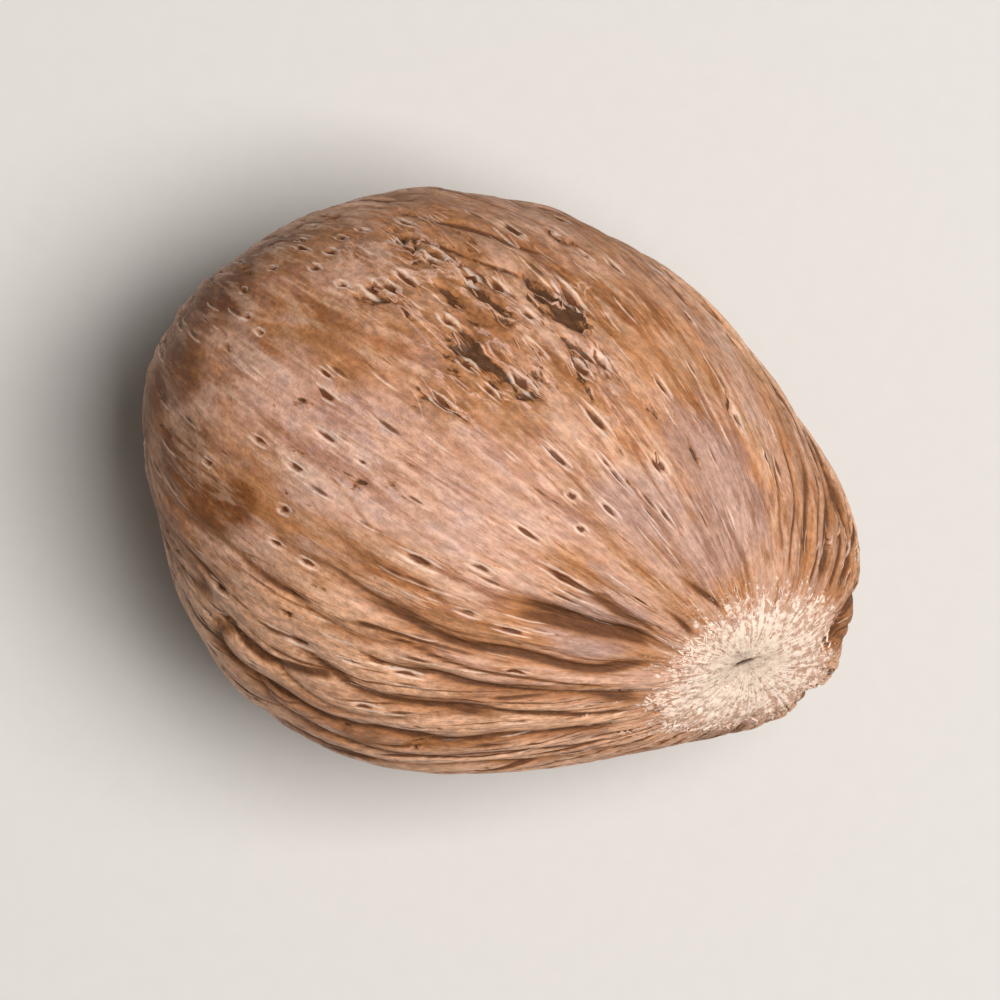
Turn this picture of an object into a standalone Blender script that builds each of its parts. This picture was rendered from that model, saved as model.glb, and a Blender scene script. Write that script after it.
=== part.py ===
"""A whole dried nutmeg, lying on its side.

The kernel is one solid: an egg of three unlike widths with a pale scar aslant on its narrow end,
shrunken ridges that run from the scar round to the far end, a few broad swellings and hollows, and a
small resting flat. Metres, +Z up, +X towards the scar's end, origin under the middle of the kernel on
the surface that it lies on.
"""

import math

import bmesh
import bpy
import numpy as np
from mathutils import Vector, noise

MM = 0.001

# Driving dimensions of the kernel, before its swellings and ridges.
LENGTH = 23.5 * MM
WIDTH = 18.1 * MM
HEIGHT = 17.3 * MM
NARROWING = 0.13  # share of the width lost at the scar's end, and gained at the blunt end
END_ROUNDING = 0.11  # share of the width lost at both ends
HEIGHT_SHARE = 0.6  # of both that the height has
REST_DEPTH = 0.24 * MM  # how far the resting flat cuts into the underside

# The scar lies aslant on the narrow end, and the grain of the skin runs out from it like meridians.
SCAR_TOWARDS = (0.78, -0.31, 0.54)
NAVEL_RADIUS = 0.9 * MM
NAVEL_DEPTH = 0.14 * MM
GIRTH_RADIUS = 8.9 * MM  # of the circle half way between the scar and the far end
GRAIN_LENGTH = 32.0 * MM  # from the scar to the far end along the skin

# Ridges: how far apart, how much longer than wide, how high, and how far they stray sideways.
RIDGE_SPACING = 1.75 * MM
END_RIDGE_SPACING = 4.2 * MM  # where the ridges draw together, on the unrolled grain
RIDGE_STRETCH = 6.5
RIDGE_HEIGHT = 0.28 * MM
RIDGE_SHARPNESS = 3.4
RIDGE_WANDER = 1.3 * MM
WANDER_SPACING = 5.0 * MM
WANDER_SEED = 1796030219
SMOOTH_SHARE = 0.16  # of the ridge height that is left on the smooth face

# Angles from the scar between which the wide ridges near it, and near the far end, come and go.
SCAR_END = (75, 25)
FAR_END = (110, 155)
BARE_SCAR = (11, 24)  # no ridges within the first, full ridges beyond the second
BARE_FAR_END = (172, 152)  # the same about the far end
BARE_REST = (12, 30)  # the same about the resting flat

# Broad unevenness of the whole form.
LUMP_SPACING = 6.5 * MM
LUMP_HEIGHT = 0.2 * MM

# Swellings and hollows: direction from the middle, reach in degrees, height.
SWELLINGS = {
    "shoulder beside the scar": ((0.92, -0.38, 0.0), 20, 0.45 * MM),
    "waist beside the shoulder": ((0.45, -0.88, 0.0), 26, -0.40 * MM),
    "upper end": ((0.96, 0.28, 0.0), 20, 0.30 * MM),
    "flattened scar": (SCAR_TOWARDS, 15, -0.22 * MM),
    "slanting far end": ((-0.90, -0.42, 0.0), 25, -0.95 * MM),
    "upper far end": ((-0.90, 0.42, 0.0), 25, -0.35 * MM),
    "pit of the far end": ((-0.78, 0.31, -0.54), 14, -0.40 * MM),
    "chin under the scar": ((0.70, 0.10, -0.70), 28, 0.40 * MM),
    "sunken cheek": ((-0.27, 0.44, 0.86), 17, -0.16 * MM),
}

# Furrows deeper than the rest: the angles from the scar where each starts and ends, its turn about
# the scar at both, its half width and its depth.
FURROWS = {
    "deepest": (16, 50, 2, 5, 0.55 * MM, 0.36 * MM),
    "above the deepest": (20, 42, -2, -12, 0.38 * MM, 0.12 * MM),
    "second": (15, 70, 20, 17, 0.48 * MM, 0.20 * MM),
    "third": (16, 60, 42, 29, 0.48 * MM, 0.22 * MM),
    "fourth": (38, 80, 48, 33, 0.42 * MM, 0.16 * MM),
    "fifth": (22, 98, 63, 50, 0.52 * MM, 0.28 * MM),
    "sixth": (24, 92, 84, 68, 0.48 * MM, 0.24 * MM),
    "seventh": (26, 110, 104, 84, 0.50 * MM, 0.26 * MM),
    "inner at the end": (24, 62, -97, -103, 0.40 * MM, 0.10 * MM),
    "middle at the end": (22, 72, -112, -115, 0.42 * MM, 0.15 * MM),
    "outer at the end": (24, 66, -128, -121, 0.42 * MM, 0.15 * MM),
    "seam along the back": (15, 166, -152, -150, 0.80 * MM, 0.26 * MM),
}
FURROW_START = 11  # degrees over which a furrow deepens where it starts
FURROW_RUN_OUT = 16  # degrees over which it runs out again
FURROW_WANDER = 0.5 * MM

# Divisions of the cube that the round form starts from: its end faces lie on the scar and the far end.
STEPS_AROUND = 30  # of each quarter of the girth
STEPS_ALONG = 31  # of each side face, along the grain
END_FACE_REACH = 0.5  # tangent of the angle from the scar that its end face reaches out to
SEED_OFFSET = Vector((3.7, -1.9, 8.3))  # moves the ridges to another part of the noise

SKIN_COLOUR = (0.48, 0.26, 0.17, 1.0)
SKIN_ROUGHNESS = 0.62


def smooth_step(low, high, value):
    """0 at low and before it, 1 at high and past it, and a smooth rise between."""
    share = min(1.0, max(0.0, (value - low) / (high - low)))
    return share * share * (3 - 2 * share)


def scar_frame():
    """The scar's direction, the way from it over the top of the kernel and the way to the near side."""
    scar = Vector(SCAR_TOWARDS).normalized()
    near_side = scar.cross(Vector((-1, 0, 1))).normalized()
    return scar, near_side.cross(scar), near_side


SCAR, OVER_TOP, NEAR_SIDE = scar_frame()


def grain(unit):
    """Angle from the scar and turn about it, for a direction from the kernel's middle."""
    away = math.acos(min(1.0, max(-1.0, unit.dot(SCAR))))
    return away, math.atan2(unit.dot(NEAR_SIDE), unit.dot(OVER_TOP))


def grain_place(away, turn):
    """A place on the cylinder that the grain unrolls to, where ridges run straight along Z."""
    return Vector((
        GIRTH_RADIUS * math.cos(turn),
        GIRTH_RADIUS * math.sin(turn),
        GRAIN_LENGTH * away / math.pi,
    ))


def ridge_profile(place, spacing):
    """Rounded ridges with sharp furrows between them, from 0 in a furrow to nearly 1."""
    drawn_out = Vector((place.x, place.y, place.z / RIDGE_STRETCH)) / spacing + SEED_OFFSET
    return math.tanh(RIDGE_SHARPNESS * abs(noise.noise(drawn_out)))


def ridge_share(unit, place, along):
    """How much of the ridge height each part of the skin has: little on the smooth upper face."""
    smooth_face = smooth_step(0.0, 0.5, unit.z) * smooth_step(-0.95, -0.2, unit.y)
    share = 1 - (1 - SMOOTH_SHARE) * smooth_face
    share *= 0.75 + 0.5 * noise.noise(place / WANDER_SPACING)
    from_rest = math.degrees(math.acos(max(-1.0, -unit.z)))
    share *= smooth_step(*BARE_SCAR, along) * smooth_step(*BARE_FAR_END, along)
    return share * smooth_step(*BARE_REST, from_rest)


def ridges(unit, away, turn):
    """Height of the shrunken ridges: 0 on a ridge's back and below it in the furrows between."""
    along = math.degrees(away)
    place = grain_place(away, turn)
    share = ridge_share(unit, place, along)
    wander = noise.noise_vector(place / WANDER_SPACING)
    place += Vector((wander.x, wander.y, 0)) * RIDGE_WANDER
    end_share = max(smooth_step(*SCAR_END, along), smooth_step(*FAR_END, along))
    height = (1 - end_share) * ridge_profile(place, RIDGE_SPACING)
    height += end_share * ridge_profile(place, END_RIDGE_SPACING)
    return RIDGE_HEIGHT * (height - 1) * share


def furrow_depth(away, turn):
    """Depth of the named furrows at this place of the skin."""
    along = math.degrees(away)
    stray = FURROW_WANDER * noise.noise(grain_place(away, turn) / WANDER_SPACING * 2)
    depth = 0.0
    for start, end, first_turn, last_turn, half_width, deepest in FURROWS.values():
        middle = first_turn + (last_turn - first_turn) * (along - start) / (end - start)
        aside = math.remainder(turn - math.radians(middle), 2 * math.pi) * GIRTH_RADIUS * math.sin(away)
        aside += stray
        share = smooth_step(start, start + FURROW_START, along)
        share *= smooth_step(end, end - FURROW_RUN_OUT, along)
        depth = max(depth, deepest * share * math.exp(-((aside / half_width) ** 2)))
    return depth


def navel_depth(away):
    """Depth of the small dimple in the middle of the scar."""
    out = away * GRAIN_LENGTH / math.pi
    return NAVEL_DEPTH * math.exp(-((out / NAVEL_RADIUS) ** 2))


def swelling(unit, smooth):
    """Height of the broad swellings and lumps."""
    height = LUMP_HEIGHT * noise.noise(smooth / LUMP_SPACING + SEED_OFFSET)
    for towards, reach, rise in SWELLINGS.values():
        apart = unit.angle(Vector(towards))
        height += rise * math.exp(-((apart / math.radians(reach)) ** 2))
    return height


def skin_point(unit):
    """Where the skin lies, for a direction from the kernel's middle."""
    loss = NARROWING * unit.x + END_ROUNDING * unit.x**2
    radii = Vector((LENGTH, WIDTH * (1 - loss), HEIGHT * (1 - HEIGHT_SHARE * loss))) / 2
    smooth = unit * radii
    outwards = Vector((unit.x / radii.x, unit.y / radii.y, unit.z / radii.z)).normalized()
    away, turn = grain(unit)
    height = swelling(unit, smooth) + ridges(unit, away, turn)
    return smooth + outwards * (height - furrow_depth(away, turn) - navel_depth(away))


def direction(corner):
    """The direction of a point of a cube of side 2 that stands on the far end, spread in even steps."""
    over, near, up = (math.tan(side * math.pi / 4) for side in corner)
    return ((OVER_TOP * over + NEAR_SIDE * near) * END_FACE_REACH + SCAR * up).normalized()


def is_upright(edge):
    """Whether an edge of the cube of side 2 climbs at least half a row."""
    return abs(edge.verts[0].co.z - edge.verts[1].co.z) > 1 / STEPS_ALONG


def make_gridded_cube():
    """A cube of side 2 whose side faces have more columns than rows."""
    form = bmesh.new()
    bmesh.ops.create_cube(form, size=2)
    upright = [edge for edge in form.edges if is_upright(edge)]
    bmesh.ops.subdivide_edges(form, edges=upright, cuts=STEPS_ALONG - 1)
    level = [edge for edge in form.edges if not is_upright(edge)]
    bmesh.ops.subdivide_edges(form, edges=level, cuts=STEPS_AROUND - 1, use_grid_fill=True)
    return form


def make_kernel():
    """The kernel's mesh: a cube with gridded faces, drawn out to the skin and set down on its flat."""
    noise.seed_set(WANDER_SEED)
    form = make_gridded_cube()
    points = np.array([skin_point(direction(vert.co)) for vert in form.verts])
    floor = points[:, 2].min() + REST_DEPTH
    points[:, 2] = np.maximum(points[:, 2], floor)
    middle = (points.min(axis=0) + points.max(axis=0)) / 2
    points -= (middle[0], middle[1], floor)
    for vert, point in zip(form.verts, points):
        vert.co = point
    bmesh.ops.triangulate(form, faces=form.faces, quad_method="BEAUTY")
    mesh = bpy.data.meshes.new("nutmeg")
    form.to_mesh(mesh)
    form.free()
    mesh.shade_smooth()
    return mesh


def make_skin_material():
    """The dull tan of the dry skin."""
    material = bpy.data.materials.new("nutmeg_skin")
    material.use_nodes = True
    shader = material.node_tree.nodes["Principled BSDF"]
    shader.inputs["Base Color"].default_value = SKIN_COLOUR
    shader.inputs["Roughness"].default_value = SKIN_ROUGHNESS
    shader.inputs["Metallic"].default_value = 0.0
    return material


def main():
    for leftover in list(bpy.data.objects):
        bpy.data.objects.remove(leftover, do_unlink=True)
    collection = bpy.data.collections.new("whole_nutmeg")
    bpy.context.scene.collection.children.link(collection)
    nutmeg = bpy.data.objects.new("nutmeg", make_kernel())
    nutmeg.data.materials.append(make_skin_material())
    collection.objects.link(nutmeg)


main()
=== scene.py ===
"""Dresses a whole dried nutmeg.

The skin has the solid's own form at a finer step, with wrinkles, cracks and pits cut along its grain,
frayed fibres round the pale scar and papery shreds lifting off the skin. It lies on a pale floor under
soft light and is seen from straight above.
"""

import math

import bmesh
import bpy
import numpy as np
from bpy.props import FloatProperty, FloatVectorProperty, IntProperty, PointerProperty
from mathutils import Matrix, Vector, noise


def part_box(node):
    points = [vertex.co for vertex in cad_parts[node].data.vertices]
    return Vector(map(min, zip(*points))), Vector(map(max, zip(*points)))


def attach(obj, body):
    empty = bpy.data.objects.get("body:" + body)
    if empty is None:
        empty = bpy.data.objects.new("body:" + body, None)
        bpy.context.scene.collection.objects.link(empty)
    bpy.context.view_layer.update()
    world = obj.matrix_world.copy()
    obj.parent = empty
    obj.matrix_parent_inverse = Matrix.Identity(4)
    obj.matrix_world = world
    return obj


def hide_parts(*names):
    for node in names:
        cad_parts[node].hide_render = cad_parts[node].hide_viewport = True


bl_info = {
    "name": "Whole nutmeg",
    "version": (1, 0, 0),
    "blender": (4, 5, 0),
    "location": "3D View > Sidebar > Nutmeg",
    "description": "Makes the skin, the frayed scar and the stage of a whole dried nutmeg",
    "category": "Object",
}

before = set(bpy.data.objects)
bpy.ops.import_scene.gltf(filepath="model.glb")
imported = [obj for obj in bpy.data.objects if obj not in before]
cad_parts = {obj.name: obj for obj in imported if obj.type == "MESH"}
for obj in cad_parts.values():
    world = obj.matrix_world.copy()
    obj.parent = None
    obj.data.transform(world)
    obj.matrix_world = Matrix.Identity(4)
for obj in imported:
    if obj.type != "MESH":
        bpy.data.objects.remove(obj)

MM = 0.001
NODE = "nutmeg"
BODY = "root"

# The form of the kernel: the same widths and the same scar as the solid has.
LENGTH = 23.5 * MM
WIDTH = 18.1 * MM
HEIGHT = 17.3 * MM
NARROWING = 0.13  # share of the width lost at the scar's end, and gained at the blunt end
END_ROUNDING = 0.11  # share of the width lost at both ends
HEIGHT_SHARE = 0.6  # of both that the height has
REST_DEPTH = 0.24 * MM
SCAR_TOWARDS = (0.78, -0.31, 0.54)
NAVEL_RADIUS = 0.9 * MM
NAVEL_DEPTH = 0.14 * MM
GIRTH_RADIUS = 8.9 * MM
GRAIN_LENGTH = 32.0 * MM  # from the scar to the far end along the skin

# Its shrunken ridges.
RIDGE_SPACING = 1.75 * MM
END_RIDGE_SPACING = 4.2 * MM
RIDGE_STRETCH = 6.5
RIDGE_HEIGHT = 0.34 * MM
RIDGE_SHARPNESS = 4.4
RIDGE_BOTTOM_POWER = 2.2  # how narrow the dark bottom between two ridges is, pigment with painted shade
RIDGE_WANDER = 1.3 * MM
WANDER_SPACING = 5.0 * MM
WANDER_SEED = 1796030219  # the solid's ridges wander by the same draw
SMOOTH_SHARE = 0.16
SCAR_END = (75, 25)
FAR_END = (110, 155)
BARE_SCAR = (11, 24)
BARE_FAR_END = (172, 152)
BARE_REST = (12, 30)
LUMP_SPACING = 6.5 * MM
LUMP_HEIGHT = 0.2 * MM

# Swellings and hollows: direction from the middle, reach in degrees and height in millimetres.
SWELLINGS = {
    "shoulder beside the scar": ((0.92, -0.38, 0.0), 20, 0.45),
    "waist beside the shoulder": ((0.45, -0.88, 0.0), 26, -0.40),
    "upper end": ((0.96, 0.28, 0.0), 20, 0.30),
    "flattened scar": (SCAR_TOWARDS, 15, -0.22),
    "slanting far end": ((-0.90, -0.42, 0.0), 25, -0.95),
    "upper far end": ((-0.90, 0.42, 0.0), 25, -0.35),
    "pit of the far end": ((-0.78, 0.31, -0.54), 14, -0.40),
    "chin under the scar": ((0.70, 0.10, -0.70), 28, 0.40),
    "sunken cheek": ((-0.27, 0.44, 0.86), 17, -0.16),
}

# Furrows: the angles from the scar where each starts and ends, its turn about the scar at both, and its
# half width and depth in millimetres.
FURROWS = {
    "deepest": (16, 50, 2, 5, 0.55, 0.36),
    "above the deepest": (20, 42, -2, -12, 0.38, 0.12),
    "second": (15, 70, 20, 17, 0.48, 0.20),
    "third": (16, 60, 42, 29, 0.48, 0.22),
    "fourth": (38, 80, 48, 33, 0.42, 0.16),
    "fifth": (22, 98, 63, 50, 0.52, 0.28),
    "sixth": (24, 92, 84, 68, 0.48, 0.24),
    "seventh": (26, 110, 104, 84, 0.50, 0.26),
    "inner at the end": (24, 62, -97, -103, 0.40, 0.10),
    "middle at the end": (22, 72, -112, -115, 0.42, 0.15),
    "outer at the end": (24, 66, -128, -121, 0.42, 0.15),
    "seam along the back": (15, 166, -152, -150, 0.80, 0.26),
}
FURROW_START = 11
FURROW_RUN_OUT = 16
FURROW_WANDER = 0.5 * MM
FURROW_DEEPENING = 1.4  # the skin's furrows are this much deeper than the solid's, and narrower
FURROW_NARROWING = 0.8

# Shallow creases too fine for the solid, in the same terms as the furrows.
CREASES = {
    "first above the scar": (15, 32, -43, -31, 0.24, 0.18),
    "second above the scar": (14, 29, -18, -17, 0.22, 0.15),
    "upper edge of the deepest": (19, 46, -5, -10, 0.18, 0.12),
    "lower edge of the deepest": (19, 48, 6, 7, 0.36, 0.28),
    "between second and third": (24, 66, 30, 23, 0.20, 0.12),
    "between third and fifth": (20, 52, 52, 41, 0.22, 0.12),
    "under the fifth": (28, 84, 74, 58, 0.20, 0.12),
    "first on the right": (22, 68, -104, -109, 0.18, 0.14),
    "second on the right": (23, 60, -90, -96, 0.18, 0.12),
    "third on the right": (25, 70, -120, -118, 0.18, 0.14),
    "fourth on the right": (26, 56, -84, -90, 0.17, 0.09),
    "long crack over the top": (74, 112, -62, -43, 0.20, 0.14),
    "streak at the top edge": (88, 116, -64, -49, 0.30, 0.15),
    "streak beside the crack": (80, 104, -52, -48, 0.26, 0.13),
    "streak under the crack": (66, 88, -42, -36, 0.22, 0.10),
}
CREASE_START = 5
CREASE_RUN_OUT = 12
CREASE_WANDER = 0.35 * MM
VALLEY_POWER = 1.35  # 2 gives a line a round bottom, and 1 a sharp one
BOTTOM_SHARE = 0.50  # of a line's half width that its dark bottom takes
DARK_DEPTH = 0.14 * MM  # lines this deep and deeper have the darkest bottoms, pigment with painted shade

# Pits that show singly: angle from the scar, turn about it, and half length and half width in millimetres.
PITS = (
    (83, 1, 0.30, 0.10), (81, 9, 0.17, 0.12), (82, -7, 0.34, 0.09), (91, 1, 0.26, 0.09),
    (98, 11, 0.15, 0.11), (74, 16, 0.24, 0.09), (80, 16, 0.22, 0.08), (59, 4, 0.42, 0.12),
    (51, -1, 0.28, 0.09), (49, 11, 0.26, 0.08), (49, -28, 0.16, 0.11), (44, -23, 0.14, 0.10),
    (44, -32, 0.30, 0.08), (40, -9, 0.60, 0.10), (48, -40, 0.50, 0.06), (72, 34, 0.34, 0.11),
    (75, -7, 0.18, 0.08), (97, -34, 0.28, 0.17), (108, -31, 0.18, 0.11), (101, -31, 0.18, 0.10),
    (119, -36, 0.20, 0.10), (112, -40, 0.18, 0.09), (110, -16, 0.14, 0.11), (105, -15, 0.14, 0.10),
    (97, -47, 0.30, 0.16), (80, -60, 0.55, 0.14), (79, -50, 0.26, 0.12), (76, -34, 0.24, 0.12),
    (69, -39, 0.36, 0.12), (58, -45, 0.48, 0.12), (73, -25, 0.34, 0.11), (73, -46, 0.34, 0.08),
    (67, -55, 0.34, 0.08), (89, -71, 0.22, 0.10), (47, -51, 0.20, 0.11), (127, -37, 0.18, 0.10),
    (122, -41, 0.16, 0.09), (110, -36, 0.20, 0.12), (111, -44, 0.20, 0.10), (116, -27, 0.15, 0.10),
    (117, -20, 0.14, 0.09), (95, -36, 0.24, 0.13), (90, -48, 0.30, 0.14), (84, -38, 0.26, 0.12),
    (104, -45, 0.22, 0.11),
)

# Patches of the skin: angle from the scar, turn about it, reach in degrees and strength of each spot.
PATCHES = {
    "stain": (
        # The first four spots mark where the skin is stained; the later ones spread the same dark coat over
        # the shaded limb of the blunt end as painted shade.
        (118, 4, 11, 1.0), (105, 14, 9, 1.0), (95, 18, 8, 0.9), (89, 13, 5, 1.0),
        (122, -15, 10, 0.9), (126, 20, 10, 0.9), (132, -8, 12, 0.9), (113, 2, 8, 0.7),
        (130, -32, 10, 0.7),
    ),
    "dust": (
        (47, -64, 10, 1.0), (38, -66, 10, 1.0), (42, -41, 9, 0.9), (30, -52, 9, 0.8),
        (31, 2, 8, 1.3),
    ),
    "cracked": (
        (98, -47, 10, 0.9), (92, -36, 9, 0.9), (86, -44, 10, 1.0), (77, -37, 9, 1.0),
        (80, -57, 9, 0.9), (70, -38, 8, 0.9), (73, -26, 7, 0.8), (67, -52, 8, 0.7),
        (59, -48, 7, 0.55), (108, -40, 10, 0.6), (107, -54, 9, 0.55), (94, -68, 8, 0.55),
    ),
    "pale": ((74, -10, 16, 1.0), (60, -14, 16, 1.0), (90, -8, 12, 0.8), (50, 2, 8, 0.6)),
    "ochre": (
        (78, -67, 8, 1.0), (64, -33, 6, 1.0), (63, -74, 7, 0.9), (96, -25, 6, 1.0),
        (109, -53, 9, 1.0), (87, -60, 6, 0.8), (98, -60, 9, 0.9), (116, -36, 9, 0.9),
        (118, -22, 8, 0.6),
    ),
}

# The pale scar: how far along the skin it reaches from the slit to the sides, how much farther it
# reaches downwards, and where the fibres of its frayed rim root.
SCAR_REACH = 3.45 * MM
SCAR_SHIFT = 0.75 * MM
SCAR_RIM = (2.5 * MM, 3.2 * MM, 3.9 * MM)
SLIT_HALF_LENGTH = 0.42 * MM
SLIT_HALF_WIDTH = 0.13 * MM
SLIT_DEPTH = 0.28 * MM
SLIT_TURN = 41  # degrees about the scar

# Divisions of the cube that the round form starts from: its end faces lie on the scar and the far end.
STEPS_AROUND = 118
STEPS_ALONG = 140
END_FACE_REACH = 0.5
SEED_OFFSET = Vector((3.7, -1.9, 8.3))

# Noise over the skin, the strands and the floor: spacing in millimetres, how many times longer it is along
# the grain, the offset that sets it apart from the others, then detail, roughness and distortion.
PATTERNS = {
    "swells": (2.0, 3.4, 3.0, 2.0, 0.5, 0.4),
    "wrinkles": (0.85, 7.0, 0.0, 1.0, 0.5, 0.3),
    "fibres": (0.36, 12.0, 5.0, 2.0),
    "scar crumbs": (0.46, 1.0, 2.0, 4.0, 0.7),
    "ragged pits": (0.16, 2.0, 0.0, 1.0),
    "crowded dashes": (2.6, 1.6, 18.0, 2.0),
    "broken skin": (0.58, 3.2, 7.0, 6.0, 0.66, 0.8),
    "folds": (1.1, 3.6, 5.0, 4.0, 0.66, 0.8),
    "wide lines": (1.7, 2.6, 6.0, 2.0),
    "narrow lines": (1.2, 3.5, 1.0, 2.0),
    "scar rays": (0.70, 3.5, 0.0, 3.0, 0.65),
    "scar edge": (0.22, 1.0, 0.0, 3.0, 0.7),
    "wide streaks": (0.42, 6.5, 1.5, 3.0, 0.62, 0.7),
    "fine streaks": (0.13, 3.4, 9.0, 2.0, 0.6),
    "streaky places": (1.6, 1.6, 15.0, 2.0),
    "grit": (0.19, 1.6, 5.0, 3.0, 0.65),
    "clouds": (1.9, 2.6, 2.0, 5.0, 0.65, 0.3),
    "haze": (1.1, 2.0, 12.0, 4.0, 0.6),
    "blotches": (0.85, 3.6, 6.0, 4.0, 0.68, 0.5),
    "bloom": (0.75, 1.8, 17.0, 5.0, 0.68, 0.4),
    # the wandering edge of the painted shade low on the sides
    "low shade edge": (2.2, 2.0, 8.0, 3.0),
    "chalk crumbs": (0.21, 1.0, 3.0, 3.0, 0.75),
    "chalk frays": (0.42, 4.0, 3.0, 2.0, 0.6),
    "strand shades": (0.8, 1.0, 0.0, 2.0),
    "strand grain": (0.09, 1.0, 0.0, 2.0),
    "floor mottle": (0.7, 1.0, 0.0, 3.0),
}

# Cells that scatter pits and dashes: spacing in millimetres, how many times longer along the grain, offset.
PIT_CELLS = (0.58, 3.6, 4.0)
DASH_CELLS = (0.33, 5.0, 21.0)

# Fine wrinkle lines: how many run round the girth, how far they wander, their half width in steps from
# line to line, their offset, the level of noise at which they come up, and their strength by how ridged
# the skin is.
WRINKLE_LINES = {
    "wide lines": (46, 4.0, 0.19, 11.0, (0.44, 0.56), (0.1, 0.7, 0.25, 1.0)),
    "narrow lines": (97, 6.0, 0.16, 14.0, (0.51, 0.64), (0.1, 0.8, 0.25, 0.7)),
}

# The broken edge of each patch: spacing of its noise in millimetres, raggedness and offset.
PATCH_EDGES = {
    "pale": (1.5, 0.9, 1.0),
    "ochre": (0.8, 1.2, 4.0),
    "cracked": (0.6, 1.3, 9.0),
    "dust": (1.1, 0.9, 7.0),
    "stain": (1.2, 0.8, 3.0),
}

# Bump of the skin's streaks, of its grit and of a strand's grain.
STREAK_BUMP = 0.075 * MM
GRIT_BUMP = 0.050 * MM
STRAND_BUMP = 0.01 * MM

STRAND_LIFT = 0.02 * MM  # how far a strand's middle arches off the skin

# The stage, in metres.
FLOOR_HALF_WIDTH = 0.6
KEY_LIGHT_PLACE = (0.115, 0.035, 0.32)
KEY_LIGHT_SIZE = 0.18


def smooth_step(low, high, value):
    """0 at low and before it, 1 at high and past it, and a smooth rise between."""
    share = min(1.0, max(0.0, (value - low) / (high - low)))
    return share * share * (3 - 2 * share)


def scar_frame():
    """The scar's direction, the way from it over the top of the kernel and the way to the near side."""
    scar = Vector(SCAR_TOWARDS).normalized()
    near_side = scar.cross(Vector((-1, 0, 1))).normalized()
    return scar, near_side.cross(scar), near_side


SCAR, OVER_TOP, NEAR_SIDE = scar_frame()


def grain(unit):
    """Angle from the scar and turn about it, for a direction from the kernel's middle."""
    away = math.acos(min(1.0, max(-1.0, unit.dot(SCAR))))
    return away, math.atan2(unit.dot(NEAR_SIDE), unit.dot(OVER_TOP))


def towards(away, turn):
    """The direction from the kernel's middle at this angle from the scar and turn about it, in degrees."""
    away, turn = math.radians(away), math.radians(turn)
    around = OVER_TOP * math.cos(turn) + NEAR_SIDE * math.sin(turn)
    return SCAR * math.cos(away) + around * math.sin(away)


def grain_place(away, turn):
    """A place on the cylinder that the grain unrolls to, where ridges run straight along Z."""
    return Vector((
        GIRTH_RADIUS * math.cos(turn),
        GIRTH_RADIUS * math.sin(turn),
        GRAIN_LENGTH * away / math.pi,
    ))


def ridge_profile(place, spacing):
    """Rounded ridges with sharp furrows between them, from 0 in a furrow to nearly 1."""
    drawn_out = Vector((place.x, place.y, place.z / RIDGE_STRETCH)) / spacing + SEED_OFFSET
    return math.tanh(RIDGE_SHARPNESS * abs(noise.noise(drawn_out)))


def ridge_share(unit, place, along):
    """How much of the ridge height each part of the skin has: little on the smooth upper face."""
    smooth_face = smooth_step(0.0, 0.5, unit.z) * smooth_step(-0.95, -0.2, unit.y)
    share = 1 - (1 - SMOOTH_SHARE) * smooth_face
    share *= 0.75 + 0.5 * noise.noise(place / WANDER_SPACING)
    from_rest = math.degrees(math.acos(max(-1.0, -unit.z)))
    share *= smooth_step(*BARE_SCAR, along) * smooth_step(*BARE_FAR_END, along)
    return share * smooth_step(*BARE_REST, from_rest)


def ridges(unit, away, turn):
    """Depth of the furrows between the shrunken ridges, how near a furrow's bottom, and the ridged share."""
    along = math.degrees(away)
    place = grain_place(away, turn)
    share = ridge_share(unit, place, along)
    wander = noise.noise_vector(place / WANDER_SPACING)
    place += Vector((wander.x, wander.y, 0)) * RIDGE_WANDER
    end_share = max(smooth_step(*SCAR_END, along), smooth_step(*FAR_END, along))
    height = (1 - end_share) * ridge_profile(place, RIDGE_SPACING)
    height += end_share * ridge_profile(place, END_RIDGE_SPACING)
    bottom = (1 - height) ** RIDGE_BOTTOM_POWER * min(1.0, share)
    return RIDGE_HEIGHT * (1 - height) * share, bottom, share


def line_depth(lines, start_over, run_out, wander, away, turn):
    """Depth of the named lines along the grain at this place, and how near the bottom of one it is."""
    along = math.degrees(away)
    stray = wander * noise.noise(grain_place(away, turn) / WANDER_SPACING * 2)
    depth = bottom = 0.0
    for start, end, first_turn, last_turn, half_width, deepest in lines.values():
        middle = first_turn + (last_turn - first_turn) * (along - start) / (end - start)
        aside = math.remainder(turn - math.radians(middle), 2 * math.pi) * GIRTH_RADIUS * math.sin(away)
        aside += stray
        share = smooth_step(start, start + start_over, along)
        share *= smooth_step(end, end - run_out, along)
        sideways = abs(aside / (half_width * MM)) / FURROW_NARROWING
        depth = max(depth, deepest * MM * share * math.exp(-(sideways**VALLEY_POWER)))
        narrow = math.exp(-((sideways / BOTTOM_SHARE) ** 2))
        bottom = max(bottom, narrow * share * min(1.0, deepest * MM / DARK_DEPTH))
    return depth, bottom


def navel_depth(away):
    """Depth of the small dimple in the middle of the scar."""
    out = away * GRAIN_LENGTH / math.pi
    return NAVEL_DEPTH * math.exp(-((out / NAVEL_RADIUS) ** 2))


def slit_share(away, turn):
    """1 in the short dark slit across the scar's middle, falling to 0 around it."""
    out = away * GRAIN_LENGTH / math.pi
    turned = turn - math.radians(SLIT_TURN)
    lengthways = out * math.cos(turned) / SLIT_HALF_LENGTH
    sideways = out * math.sin(turned) / SLIT_HALF_WIDTH
    return math.exp(-(lengthways**4) - sideways**2)


def swelling(unit, smooth):
    """Height of the broad swellings and lumps."""
    height = LUMP_HEIGHT * noise.noise(smooth / LUMP_SPACING + SEED_OFFSET)
    for direction_of, reach, rise in SWELLINGS.values():
        apart = unit.angle(Vector(direction_of))
        height += rise * MM * math.exp(-((apart / math.radians(reach)) ** 2))
    return height


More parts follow.
